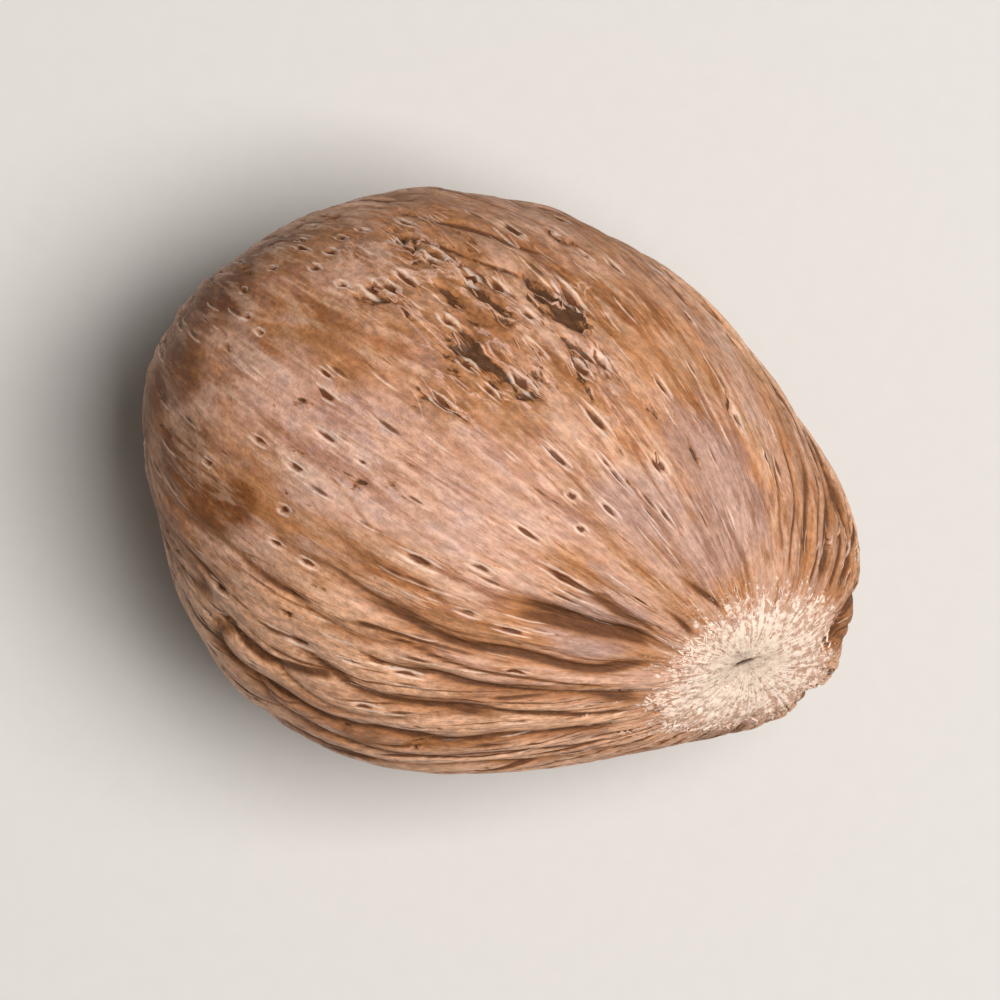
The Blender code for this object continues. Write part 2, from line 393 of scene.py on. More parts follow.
def direction(corner):
    """The direction of a point of a cube of side 2 that stands on the far end, spread in even steps."""
    over, near, up = (math.tan(side * math.pi / 4) for side in corner)
    return ((OVER_TOP * over + NEAR_SIDE * near) * END_FACE_REACH + SCAR * up).normalized()


def is_upright(edge):
    """Whether an edge of the cube of side 2 climbs at least half a row."""
    return abs(edge.verts[0].co.z - edge.verts[1].co.z) > 1 / STEPS_ALONG


def make_gridded_cube():
    """A cube of side 2 whose side faces have more columns than rows."""
    form = bmesh.new()
    bmesh.ops.create_cube(form, size=2)
    upright = [edge for edge in form.edges if is_upright(edge)]
    bmesh.ops.subdivide_edges(form, edges=upright, cuts=STEPS_ALONG - 1)
    level = [edge for edge in form.edges if not is_upright(edge)]
    bmesh.ops.subdivide_edges(form, edges=level, cuts=STEPS_AROUND - 1, use_grid_fill=True)
    return form


def read_skin(unit):
    """Where the skin lies for a direction, its unrolled place, and how furrowed and ridged it is there."""
    loss = NARROWING * unit.x + END_ROUNDING * unit.x**2
    radii = Vector((LENGTH, WIDTH * (1 - loss), HEIGHT * (1 - HEIGHT_SHARE * loss))) / 2
    smooth = unit * radii
    outwards = Vector((unit.x / radii.x, unit.y / radii.y, unit.z / radii.z)).normalized()
    away, turn = grain(unit)
    furrow, furrow_bottom = line_depth(FURROWS, FURROW_START, FURROW_RUN_OUT, FURROW_WANDER, away, turn)
    furrow *= FURROW_DEEPENING
    crease, crease_bottom = line_depth(CREASES, CREASE_START, CREASE_RUN_OUT, CREASE_WANDER, away, turn)
    between, ridge_bottom, ridged = ridges(unit, away, turn)
    depth = furrow + between + crease
    slit = slit_share(away, turn)
    height = swelling(unit, smooth) - depth - navel_depth(away) - SLIT_DEPTH * slit
    bottom = max(furrow_bottom, crease_bottom, ridge_bottom)
    place = grain_place(away, turn) / MM
    return (*(smooth + outwards * height), *place, depth / RIDGE_HEIGHT, bottom, ridged, slit)


def spots(units, name):
    """The strength of a named patch at each direction."""
    strength = np.zeros(len(units))
    for away, turn, reach, most in PATCHES[name]:
        apart = np.arccos(np.clip(units @ np.array(towards(away, turn)), -1, 1))
        strength = np.maximum(strength, most * np.exp(-((apart / math.radians(reach)) ** 2)))
    return strength


def pit_distances(units):
    """How far each direction is from the middle of the nearest named pit, and how far aside of it.

    In both, 1 is the pit's edge.
    """
    reach = GRAIN_LENGTH / math.pi
    nearest = np.full(len(units), 4.0)
    nearest_aside = np.zeros(len(units))
    for away, turn, half_length, half_width in PITS:
        middle = towards(away, turn)
        lengthways = (middle * middle.dot(SCAR) - SCAR).normalized()
        sideways = middle.cross(lengthways)
        aside = np.abs(units @ np.array(sideways)) * reach / (half_width * MM)
        apart = np.hypot(units @ np.array(lengthways) * reach / (half_length * MM), aside)
        closer = (apart < nearest) & (units @ np.array(middle) > 0)
        nearest[closer] = apart[closer]
        nearest_aside[closer] = aside[closer]
    return nearest, nearest_aside


def rim_share(places):
    """1 on the middle of the scar's frayed rim, falling to 0 at its two edges."""
    out = places[:, 2] * MM + SCAR_SHIFT * places[:, 0] * MM / GIRTH_RADIUS
    inner, middle, outer = SCAR_RIM
    rise = np.clip((out - inner) / (middle - inner), 0, 1)
    fall = np.clip((outer - out) / (outer - middle), 0, 1)
    return np.minimum(rise, fall)


def keep_attribute(mesh, name, values):
    """Keeps a number or a vector for each of the mesh's points."""
    is_vector = values.ndim == 2
    kind = "FLOAT_VECTOR" if is_vector else "FLOAT"
    kept = mesh.attributes.new(name, kind, "POINT")
    kept.data.foreach_set("vector" if is_vector else "value", values.astype(np.float32).ravel())


def grain_ways(units):
    """The way the grain runs over the skin, away from the scar, at each direction."""
    scar = np.array(SCAR)
    ways = units * (units @ scar)[:, None] - scar
    return ways / np.maximum(np.linalg.norm(ways, axis=1), 1e-6)[:, None]


def make_kernel_mesh():
    """The kernel at a fine step, set on the floor in the solid's place, with what its finish reads."""
    noise.seed_set(WANDER_SEED)
    form = make_gridded_cube()
    corners = [direction(vert.co) for vert in form.verts]
    readings = np.array([read_skin(unit) for unit in corners])
    units = np.array(corners)
    points, places = readings[:, :3], readings[:, 3:6]
    floor = points[:, 2].min() + REST_DEPTH
    low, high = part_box(NODE)
    middle = (points.min(axis=0) + points.max(axis=0)) / 2 - np.array((low + high) / 2)
    points = points - (middle[0], middle[1], floor)
    mesh = bpy.data.meshes.new("nutmeg_skin")
    form.to_mesh(mesh)
    form.free()
    mesh.vertices.foreach_set("co", points.astype(np.float32).ravel())
    keep_attribute(mesh, "grain", places)
    keep_attribute(mesh, "grain_way", grain_ways(units))
    for column, name in enumerate(("furrow", "bottom", "ridged", "slit"), start=6):
        keep_attribute(mesh, name, readings[:, column])
    for name, values in zip(("pit_distance", "pit_aside"), pit_distances(units)):
        keep_attribute(mesh, name, values)
    keep_attribute(mesh, "rim", rim_share(places))
    for name in PATCHES:
        keep_attribute(mesh, name, spots(units, name))
    mesh.shade_smooth()
    return mesh


class Wiring:
    """Adds nodes to one tree, linked as they are made. Lengths are in millimetres unless said."""

    def __init__(self, tree):
        self.tree = tree
        self.is_geometry = tree.bl_idname == "GeometryNodeTree"

    def feed(self, value, socket):
        """Links an output to a socket, or gives the socket a plain value."""
        if isinstance(value, bpy.types.NodeSocket):
            self.tree.links.new(value, socket)
        else:
            socket.default_value = value

    def node(self, kind, inputs=None, **settings):
        """Adds a node with these settings and inputs, and gives its outputs."""
        node = self.tree.nodes.new(kind)
        for name, value in settings.items():
            setattr(node, name, value)
        for name, value in (inputs or {}).items():
            self.feed(value, node.inputs[name])
        return node.outputs

    def add(self, kind, inputs=None, out=0, **settings):
        """Adds a node, and gives one of its outputs."""
        return self.node(kind, inputs, **settings)[out]

    def maths(self, operation, first, second=0.0):
        return self.add("ShaderNodeMath", {0: first, 1: second}, operation=operation)

    def product(self, first, *others):
        for other in others:
            first = self.maths("MULTIPLY", first, other)
        return first

    def total(self, first, *others):
        for other in others:
            first = self.maths("ADD", first, other)
        return first

    def vector_maths(self, operation, first, second, out=0):
        return self.add("ShaderNodeVectorMath", {0: first, 1: second}, out, operation=operation)

    def times(self, vector, factor):
        """A vector times a number."""
        return self.add("ShaderNodeVectorMath", {0: vector, "Scale": factor}, operation="SCALE")

    def split(self, vector):
        """A vector's X, Y and Z."""
        return self.node("ShaderNodeSeparateXYZ", {0: vector})

    def rise(self, value, low, high, to_low=0.0, to_high=1.0):
        """to_low at low, to_high at high, and a smooth rise between. low may be the larger."""
        ends = {"Value": value, "From Min": low, "From Max": high, "To Min": to_low, "To Max": to_high}
        return self.add("ShaderNodeMapRange", ends, interpolation_type="SMOOTHSTEP")

    def attribute(self, name):
        """A number that the mesh keeps for each point."""
        if self.is_geometry:
            return self.add("GeometryNodeInputNamedAttribute", {"Name": name}, data_type="FLOAT")
        return self.add("ShaderNodeAttribute", out="Fac", attribute_name=name)

    def vector_attribute(self, name):
        """A vector that the mesh keeps for each point."""
        if self.is_geometry:
            return self.add("GeometryNodeInputNamedAttribute", {"Name": name}, data_type="FLOAT_VECTOR")
        return self.add("ShaderNodeAttribute", out="Vector", attribute_name=name)

    def scaled(self, vector, spacing, stretch, offset):
        """The vector in steps of spacing, with steps along Z stretch times longer."""
        steps = (1 / spacing, 1 / spacing, 1 / (spacing * stretch))
        inputs = {0: vector, 1: steps, 2: (offset, offset, offset)}
        return self.add("ShaderNodeVectorMath", inputs, operation="MULTIPLY_ADD")

    def noise(self, vector, detail, roughness=0.5, distortion=0.0):
        inputs = {
            "Vector": vector,
            "Scale": 1.0,
            "Detail": detail,
            "Roughness": roughness,
            "Distortion": distortion,
        }
        return self.add("ShaderNodeTexNoise", inputs)

    def pattern(self, name, places):
        """One of the named noises, from 0 to 1 and mostly near 0.5."""
        spacing, stretch, offset, *settings = PATTERNS[name]
        return self.noise(self.scaled(places, spacing, stretch, offset), *settings)

    def swing(self, name, places):
        """One of the named noises, up and down from 0."""
        return self.maths("SUBTRACT", self.pattern(name, places), 0.5)

    def mix(self, share, first, second, blend="MIX"):
        """A colour between two."""
        inputs = {0: share, 6: first, 7: second}
        return self.add("ShaderNodeMix", inputs, out=2, data_type="RGBA", blend_type=blend)

    def painted(self, colour, *coats):
        """A colour under coats of others, each with its share."""
        for share, coat in coats:
            colour = self.mix(share, colour, coat)
        return colour

    def tinted(self, colour, strength):
        """The colour times a grey of this strength."""
        grey = self.add("ShaderNodeCombineColor", {0: strength, 1: strength, 2: strength})
        return self.mix(1.0, colour, grey, "MULTIPLY")

    def bump(self, height):
        """The normal of a surface that is raised by a height in metres."""
        return self.add("ShaderNodeBump", {"Strength": 1.0, "Distance": 1.0, "Height": height})


def scattered_cells(wiring, places, spacing, stretch, offset):
    """Cells drawn out along the grain: how far from a cell's middle, its random number and how far aside."""
    spread = wiring.scaled(places, spacing, stretch, offset)
    cells = wiring.node("ShaderNodeTexVoronoi", {"Vector": spread, "Scale": 1.0})
    chosen = wiring.split(cells["Color"])["X"]
    apart = wiring.vector_maths("SUBTRACT", spread, cells["Position"])
    round_girth = wiring.vector_maths("CROSS_PRODUCT", (0.0, 0.0, MM / GIRTH_RADIUS), places)
    return cells["Distance"], chosen, wiring.vector_maths("DOT_PRODUCT", apart, round_girth, out="Value")


def pits_and_lips(wiring, places):
    """How deep in a small pit a place is, and how near the raised lip along either side of one."""
    distance, chosen, aside = scattered_cells(wiring, places, *PIT_CELLS)
    size = wiring.rise(chosen, 0.40, 0.95, 0.001, 0.17)
    scattered = wiring.maths("DIVIDE", distance, size)
    aside = wiring.maths("DIVIDE", wiring.maths("ABSOLUTE", aside), size)
    named = wiring.attribute("pit_distance")
    named_aside = wiring.attribute("pit_aside")
    is_scattered = wiring.maths("LESS_THAN", scattered, named)
    further_aside = wiring.maths("SUBTRACT", aside, named_aside)
    aside = wiring.total(named_aside, wiring.product(further_aside, is_scattered))
    nearest = wiring.maths("MINIMUM", scattered, named)
    nearest = wiring.total(nearest, wiring.product(wiring.pattern("ragged pits", places), 0.6), -0.3)
    # The raised lip; the skin also paints it pale as a highlight.
    lip = wiring.product(wiring.rise(nearest, 2.1, 1.5), wiring.rise(nearest, 1.0, 1.35))
    return wiring.rise(nearest, 1.3, 0.1), wiring.product(lip, wiring.rise(aside, 0.5, 1.1))


def dashes(wiring, places):
    """How near the middle of a short dark dash a place is, and how near the painted highlight on one side of
    it.
    """
    distance, chosen, aside = scattered_cells(wiring, places, *DASH_CELLS)
    crowd = wiring.product(wiring.pattern("crowded dashes", places), 1.6)
    size = wiring.rise(wiring.total(chosen, crowd, -0.8), 0.44, 1.0, 0.001, 0.26)
    nearest = wiring.maths("DIVIDE", distance, size)
    # Pale lip on one side only: a painted highlight.
    lip = wiring.product(wiring.rise(nearest, 2.0, 1.5), wiring.rise(nearest, 1.0, 1.3))
    return wiring.rise(nearest, 1.15, 0.45), wiring.product(lip, wiring.rise(aside, 0.07, 0.17))


def broken_skin(wiring, places, patch):
    """How deep in the broken patch's hollows a place is, and how near the crest of a fold between them."""
    needed = wiring.rise(patch, 0.05, 0.85, 0.62, 0.49)
    level = wiring.maths("SUBTRACT", wiring.pattern("broken skin", places), needed)
    from_middle = wiring.maths("ABSOLUTE", wiring.swing("folds", places))
    fold = wiring.product(wiring.rise(from_middle, 0.026, 0.004), wiring.rise(patch, 0.2, 0.55))
    return wiring.product(wiring.rise(level, -0.02, 0.11), wiring.maths("SUBTRACT", 1.0, fold)), fold


def lines_along(wiring, places, count, wander, width, offset):
    """How near the middle of a line a place is: lines spread round the girth that wander off the grain."""
    place = wiring.split(places)
    turn = wiring.maths("ARCTAN2", place["Y"], place["X"])
    astray = wiring.noise(wiring.scaled(places, 5.0, 1.7, offset), 2.0, 0.45)
    phase = wiring.total(wiring.product(turn, count / math.tau), wiring.product(astray, wander))
    return wiring.rise(wiring.maths("PINGPONG", phase, 0.5), width, 0.0)


def wrinkle_lines(wiring, places, ridged):
    """How near the bottom of a fine wrinkle a place is: long lines along the grain that come and go."""
    nearest = 0.0
    for name, (count, wander, width, offset, shown_from, by_ridges) in WRINKLE_LINES.items():
        shown = wiring.total(wiring.pattern(name, places), wiring.product(ridged, 0.12))
        lines = wiring.product(
            lines_along(wiring, places, count, wander, width, offset),
            wiring.rise(shown, *shown_from),
            wiring.rise(ridged, *by_ridges),
        )
        nearest = wiring.maths("MAXIMUM", nearest, lines)
    return nearest


def scar_share(wiring, places, positions):
    """1 on the pale scar, with an edge that is crumbly and frayed outwards."""
    place = wiring.split(places)
    ragged = wiring.total(
        place["Z"],
        wiring.product(place["X"], SCAR_SHIFT / GIRTH_RADIUS),
        wiring.product(wiring.pattern("scar rays", places), -3.6),
        wiring.product(wiring.pattern("scar edge", positions), -4.0),
    )
    reach = SCAR_REACH / MM - 3.8  # both noises together take off 3.8 on average
    return wiring.rise(ragged, reach + 0.4, reach - 0.4)


GEOMETRY = ("Geometry", "NodeSocketGeometry")
MATERIAL = ("Material", "NodeSocketMaterial")
RELIEF_SIZES = (
    "Swell Height",
    "Wrinkle Height",
    "Fibre Height",
    "Line Depth",
    "Hollow Depth",
    "Pit Depth",
    "Crumb Height",
)
STRAND_SIZES = ("Density", "Length", "Width", "Thickness", "Lift", "Stray")


def numbers(*names):
    """Sockets that each take a number."""
    return [(name, "NodeSocketFloat") for name in names]


def new_tree(name, kind, inputs, outputs):
    """A node tree with these sockets, and the nodes that hold its inputs and outputs."""
    tree = bpy.data.node_groups.new(name, kind)
    for side, sockets in (("INPUT", inputs), ("OUTPUT", outputs)):
        for socket_name, socket_type in sockets:
            tree.interface.new_socket(socket_name, in_out=side, socket_type=socket_type)
    return Wiring(tree), tree.nodes.new("NodeGroupInput").outputs, tree.nodes.new("NodeGroupOutput").inputs


def kept_on_floor(wiring, geometry):
    """The geometry with nothing under the floor."""
    position = wiring.add("GeometryNodeInputPosition")
    raised = wiring.vector_maths("MAXIMUM", position, (-1.0, -1.0, 0.0))
    return wiring.add("GeometryNodeSetPosition", {"Geometry": geometry, "Position": raised})


def finish_tree(wiring, geometry, given, made):
    """Ends a tree with plain geometry above the floor, in the tree's material."""
    geometry = wiring.add("GeometryNodeRealizeInstances", {"Geometry": geometry})
    geometry = kept_on_floor(wiring, geometry)
    geometry = wiring.add("GeometryNodeSetMaterial", {"Geometry": geometry, "Material": given["Material"]})
    wiring.feed(geometry, made["Geometry"])
    return wiring.tree


def make_relief_tree(colours):
    """The tree that cuts wrinkles, hollows, pits and crumbs into the kernel and keeps its broad colour."""
    sockets = [GEOMETRY, *numbers(*RELIEF_SIZES), MATERIAL]
    wiring, given, made = new_tree("kernel_relief", "GeometryNodeTree", sockets, [GEOMETRY])
    places = wiring.vector_attribute("grain")
    in_mm = wiring.times(wiring.add("GeometryNodeInputPosition"), 1 / MM)
    scar = scar_share(wiring, places, in_mm)
    skin = wiring.maths("SUBTRACT", 1.0, scar)
    hollows, folds = broken_skin(wiring, places, wiring.attribute("cracked"))
    lines = wrinkle_lines(wiring, places, wiring.attribute("ridged"))
    pits, lips = pits_and_lips(wiring, places)
    height = wiring.total(
        wiring.product(lines, given["Line Depth"], skin, -1.0),
        wiring.product(lips, given["Pit Depth"], skin, 0.18),
        wiring.product(folds, given["Hollow Depth"], 0.2),
        wiring.product(wiring.swing("swells", places), given["Swell Height"], skin),
        wiring.product(wiring.swing("wrinkles", places), given["Wrinkle Height"], skin),
        wiring.product(wiring.swing("fibres", places), given["Fibre Height"], skin),
        wiring.product(wiring.swing("scar crumbs", in_mm), given["Crumb Height"], scar),
        wiring.product(hollows, given["Hollow Depth"], -1.0),
        wiring.product(pits, given["Pit Depth"], skin, -1.0),
    )
    ground = ground_colour(wiring, colours, places, in_mm)
    geometry = wiring.add(
        "GeometryNodeStoreNamedAttribute",
        {"Geometry": given["Geometry"], "Name": "ground", "Value": ground},
        data_type="FLOAT_COLOR",
        domain="POINT",
    )
    offset = wiring.times(wiring.add("GeometryNodeInputNormal"), height)
    geometry = wiring.add("GeometryNodeSetPosition", {"Geometry": geometry, "Offset": offset})
    return finish_tree(wiring, geometry, given, made)


def make_strand_tree():
    """The tree that scatters thin bent strands over the skin, pointing along its grain."""
    sockets = [
        GEOMETRY,
        *numbers(*STRAND_SIZES),
        ("Where", "NodeSocketString"),
        ("Seed", "NodeSocketInt"),
        MATERIAL,
    ]
    wiring, given, made = new_tree("skin_strands", "GeometryNodeTree", sockets, [GEOMETRY])
    seed = given["Seed"]
    where = wiring.add("GeometryNodeInputNamedAttribute", {"Name": given["Where"]}, data_type="FLOAT")
    density = wiring.product(where, given["Density"])
    scattered = wiring.node(
        "GeometryNodeDistributePointsOnFaces", {"Mesh": given["Geometry"], "Density": density, "Seed": seed}
    )
    normal = {"Vector": scattered["Normal"]}
    upright = wiring.add("FunctionNodeAlignRotationToVector", normal, axis="Z")
    way = {"Rotation": upright, "Vector": wiring.vector_attribute("grain_way")}
    turned = wiring.add("FunctionNodeAlignRotationToVector", way, axis="X", pivot_axis="Z")
    most = given["Stray"]
    least = wiring.product(most, -1.0)
    ends = {
        "Min": wiring.add("ShaderNodeCombineXYZ", {0: least, 2: least}),
        "Max": wiring.add("ShaderNodeCombineXYZ", {0: most, 2: most}),
        "Seed": seed,
    }
    astray = wiring.add("FunctionNodeRandomValue", ends, data_type="FLOAT_VECTOR")
    strays = {"Rotation": turned, "Rotate By": astray}
    turned = wiring.add("FunctionNodeRotateRotation", strays, rotation_space="LOCAL")
    sizes = wiring.add(
        "FunctionNodeRandomValue", {2: 0.45, 3: 1.25, "Seed": seed}, out=1, data_type="FLOAT"
    )
    strand = make_strand(wiring, given)
    placed = {"Points": scattered["Points"], "Instance": strand, "Rotation": turned, "Scale": sizes}
    return finish_tree(wiring, wiring.add("GeometryNodeInstanceOnPoints", placed), given, made)


def make_strand(wiring, given):
    """One bent strand along X that is thick in the middle and tapers to both ends."""
    across = wiring.product(given["Length"], 0.5)
    sunk = wiring.product(given["Lift"], -0.6)
    ends = {
        "Resolution": 5,
        "Start": wiring.add("ShaderNodeCombineXYZ", {0: wiring.product(across, -1.0), 2: sunk}),
        "Middle": wiring.add("ShaderNodeCombineXYZ", {2: given["Lift"]}),
        "End": wiring.add("ShaderNodeCombineXYZ", {0: across, 2: wiring.product(given["Lift"], 0.35)}),
    }
    line = wiring.add("GeometryNodeCurveQuadraticBezier", ends)
    along = wiring.add("GeometryNodeSplineParameter", out="Factor")
    taper = wiring.maths("POWER", wiring.maths("SINE", wiring.product(along, math.pi)), 0.7)
    taper = wiring.maths("MAXIMUM", taper, 0.08)
    line = wiring.add("GeometryNodeSetCurveRadius", {"Curve": line, "Radius": taper})
    ring = wiring.add("GeometryNodeCurvePrimitiveCircle", {"Resolution": 4, "Radius": 0.5})
    flat = wiring.add("ShaderNodeCombineXYZ", {0: given["Width"], 1: given["Thickness"], 2: 1.0})
    ring = wiring.add("GeometryNodeTransform", {"Geometry": ring, "Scale": flat})
    return wiring.add("GeometryNodeCurveToMesh", {"Curve": line, "Profile Curve": ring, "Fill Caps": True})


def shape_with(piece, tree, values):
    """Runs a piece's mesh through a node tree with these inputs and keeps the result as its mesh."""
    modifier = piece.modifiers.new(tree.name, "NODES")
    modifier.node_group = tree
    for item in tree.interface.items_tree:
        if item.in_out == "INPUT" and item.name in values:
            modifier[item.identifier] = values[item.name]
    evaluated = piece.evaluated_get(bpy.context.evaluated_depsgraph_get())
    shaped = bpy.data.meshes.new_from_object(evaluated)
    piece.modifiers.clear()
    before = piece.data
    piece.data = shaped
    bpy.data.meshes.remove(before)


def add_piece(name, mesh):
    """A piece of the nutmeg in the scene."""
    piece = bpy.data.objects.new(name, mesh)
    bpy.context.scene.collection.objects.link(piece)
    return piece


def blank_material(name):
    """A material with its wiring and its shader's inputs."""
    material = bpy.data.materials.new(name)
    material.use_nodes = True
    shader = material.node_tree.nodes["Principled BSDF"]
    return material, Wiring(material.node_tree), shader.inputs


def make_streak_group():
    """The group that draws dry streaks along the grain: darker and paler lines, and their height."""
    sockets = [("Grain", "NodeSocketVector"), ("Colour", "NodeSocketColor"), *numbers("Strength")]
    results = [("Colour", "NodeSocketColor"), *numbers("Height")]
    wiring, given, made = new_tree("grain_streaks", "ShaderNodeTree", sockets, results)
    wide = wiring.product(wiring.pattern("wide streaks", given["Grain"]), 0.78)
    fine = wiring.product(wiring.pattern("fine streaks", given["Grain"]), 0.22)
    both = wiring.total(wide, fine)
    swing = wiring.product(wiring.rise(both, 0.37, 0.63, -1.0, 1.0), given["Strength"])
    darker = wiring.mix(1.0, given["Colour"], (0.60, 0.46, 0.36, 1.0), "MULTIPLY")
    paler = wiring.mix(0.45, given["Colour"], (0.80, 0.55, 0.41, 1.0))
    colour = wiring.painted(
        given["Colour"],
        (wiring.maths("MAXIMUM", wiring.product(swing, -1.0), 0.0), darker),
        (wiring.maths("MAXIMUM", swing, 0.0), paler),
    )
    wiring.feed(colour, made["Colour"])
    wiring.feed(both, made["Height"])
    return wiring.tree


def add_streaks(wiring, group, places, colour, strength):
    """The colour with the group's streaks in it, and their height."""
    inputs = {"Grain": places, "Colour": colour, "Strength": strength}
    streaked = wiring.node("ShaderNodeGroup", inputs, node_tree=group)
    return streaked["Colour"], streaked["Height"]


def positions_in_mm(wiring):
    """Where on the object a point lies, in millimetres."""
    return wiring.times(wiring.add("ShaderNodeTexCoord", out="Object"), 1 / MM)


def patch_share(wiring, name, places):
    """A named patch whose edge is broken up along the grain."""
    spacing, raggedness, offset = PATCH_EDGES[name]
    wander = wiring.noise(wiring.scaled(places, spacing, 1.7, offset), 4.0, 0.62)
    shifted = wiring.total(wiring.attribute(name), wiring.product(wander, raggedness), -0.5 * raggedness)
    return wiring.rise(shifted, 0.22, 0.72)


def ground_colour(wiring, colours, places, positions):
    """The skin's broad colour: tan and pink cloud, patches, and painted shade low on the sides."""
    # Painted shade: the skin darkens towards the floor, low on its sides.
    wander = wiring.product(wiring.pattern("low shade edge", places), 5.0)
    low = wiring.total(wiring.split(positions)["Z"], wander, -2.5)
    shares = {name: patch_share(wiring, name, places) for name in PATCH_EDGES}
    bloom = wiring.rise(wiring.pattern("bloom", places), 0.50, 0.60, 0.0, 0.7)
    return wiring.painted(
        colours.tan,
        (wiring.rise(wiring.pattern("clouds", places), 0.42, 0.58), colours.pink),
        (wiring.rise(wiring.pattern("haze", places), 0.53, 0.66, 0.0, 0.65), colours.dust),
        (wiring.rise(wiring.pattern("blotches", places), 0.50, 0.62, 0.0, 0.85), colours.ochre),
        # Painted shade coat, darker towards the bottom.
        (wiring.rise(low, 13.5, 6.0, 0.0, 0.85), colours.low_shade),
        (wiring.product(shares["pale"], 0.65), colours.pale),
        (wiring.product(bloom, shares["pale"]), colours.lilac),
        (wiring.product(shares["ochre"], 0.7), colours.ochre),
        (wiring.product(shares["cracked"], 0.6), colours.ochre),
        (wiring.product(shares["dust"], 0.8), colours.dust),
        # Stained band, spread over the blunt end's limb as painted shade.
        (wiring.product(shares["stain"], 0.95), colours.stain),
    )


def scar_colour(wiring, colours, places, positions):
    """The scar's chalk: nearly white in the middle, with tan crumbs that crowd towards its rim."""
    out = wiring.split(places)["Z"]
    crumbs = wiring.product(wiring.pattern("chalk crumbs", positions), 0.6)
    frays = wiring.product(wiring.pattern("chalk frays", places), 0.4)
    crowded = wiring.rise(out, 0.4, 4.0, 0.54, 0.45)
    level = wiring.maths("SUBTRACT", wiring.total(crumbs, frays), crowded)
    return wiring.painted(
        colours.chalk,
        (wiring.rise(out, 2.4, 0.6), colours.scar_core),
        (wiring.rise(level, -0.04, 0.09, 0.0, 0.8), colours.scar_gap),
    )


def ridge_coats(wiring, colours, places, furrow, ridged, uneven):
    """The pale backs of the ridges, partly painted highlight, the orange beside their furrows and their dark
    bottoms, both partly painted shade.
    """
    # Pale ridge backs: partly the skin's own colour, partly painted highlight.
    back = wiring.product(wiring.rise(furrow, 0.7, 0.05), wiring.rise(ridged, 0.2, 0.8), 0.88)
    lines = wrinkle_lines(wiring, places, ridged)
    bottoms = wiring.maths("MAXIMUM", wiring.attribute("bottom"), lines)
    return (
        (back, colours.crest),
        # Orange beside the furrows: partly the skin's colour, partly painted warm shade.
        (wiring.rise(uneven, 0.34, 1.15, 0.0, 0.85), colours.rust_and_shade),
        # Orange widening round the dark bottoms, partly painted warm shade.
        (wiring.rise(bottoms, 0.06, 0.42, 0.0, 0.72), colours.rust_and_shade),
        # Dark furrow bottoms: dark pigment with painted shade.
        (wiring.rise(bottoms, 0.25, 0.70, 0.0, 0.92), colours.furrow),
    )


def dash_coats(wiring, colours, places):
    """The short dark dashes and the painted highlight along one side of each."""
    marks, lips = dashes(wiring, places)
    # Painted highlight along one side of each dash.
    return (wiring.product(lips, 0.4), colours.chalk), (wiring.product(marks, 0.85), colours.furrow)


def broken_coats(wiring, colours, places, cracked, grit, streak_height):
    """The rusty slopes, dark bottoms and pale folds of the broken patch."""
    hollows, folds = broken_skin(wiring, places, cracked)
    hollow_darkness = wiring.total(hollows, wiring.product(grit, -1.0), wiring.product(streak_height, -1.3), 1.15)
    return (
        (wiring.rise(hollows, 0.0, 0.4, 0.0, 0.8), colours.rust_and_shade),
        # Darker in the deeper parts of the hollows.
        (wiring.rise(hollow_darkness, 0.35, 0.95, 0.0, 0.92), colours.crack),
        (wiring.product(folds, 0.65), colours.pale),
    )


def pit_and_scar_coats(wiring, colours, places, positions, scar):
    """The pits with a painted highlight on their lips, the pale scar and the slit across it."""
    pits, lips = pits_and_lips(wiring, places)
    return (
        # Painted highlight on the pits' raised lips.
        (wiring.product(lips, 0.5), colours.chalk),
        (wiring.rise(pits, 0.05, 0.55, 0.0, 0.95), colours.pit),
        (scar, scar_colour(wiring, colours, places, positions)),
        (wiring.rise(wiring.attribute("slit"), 0.2, 0.65, 0.0, 0.92), colours.crack),
    )


def make_skin_material(colours, streaks):
    """The kernel's dry skin, with its scar, its cracks and its pits."""
    material, wiring, shader = blank_material("nutmeg_skin")
    places = wiring.vector_attribute("grain")
    positions = positions_in_mm(wiring)
    ground = wiring.add("ShaderNodeAttribute", out="Color", attribute_name="ground")
    furrow, ridged, cracked = (wiring.attribute(name) for name in ("furrow", "ridged", "cracked"))
    grit = wiring.pattern("grit", places)
    scar = scar_share(wiring, places, positions)
    patchy = wiring.rise(wiring.pattern("streaky places", places), 0.35, 0.65, 0.4, 1.4)
    strength = wiring.product(wiring.rise(ridged, 0.1, 0.8, 0.58, 0.65), patchy)
    colour, streak_height = add_streaks(wiring, streaks, places, ground, strength)
    dusty = wiring.product(wiring.attribute("dust"), -1.0)
    # Sets the orange coat beside the furrows, partly painted warm shade.
    uneven = wiring.total(furrow, wiring.product(grit, 0.6), wiring.product(streak_height, 0.8), dusty, -0.7)
    colour = wiring.painted(
        colour,
        *ridge_coats(wiring, colours, places, furrow, ridged, uneven),
        *dash_coats(wiring, colours, places),
        *broken_coats(wiring, colours, places, cracked, grit, streak_height),
    )
    rough = wiring.rise(wiring.maths("MAXIMUM", wiring.rise(ridged, 0.1, 0.8), cracked), 0.0, 0.7, 0.75, 1.1)
    speckle = wiring.product(wiring.rise(grit, 0.3, 0.7, -0.28, 0.24), rough)
    colour = wiring.tinted(colour, wiring.total(speckle, 1.0))
    colour = wiring.painted(colour, *pit_and_scar_coats(wiring, colours, places, positions, scar))
    dryness = wiring.total(wiring.rise(furrow, 0.2, 1.2, 0.56, 0.74), wiring.product(scar, 0.18))
    height = wiring.total(wiring.product(streak_height, STREAK_BUMP), wiring.product(grit, GRIT_BUMP))
    wiring.feed(colour, shader["Base Color"])
    wiring.feed(dryness, shader["Roughness"])
    wiring.feed(wiring.bump(height), shader["Normal"])
    shader["Specular IOR Level"].default_value = 0.25
    return material


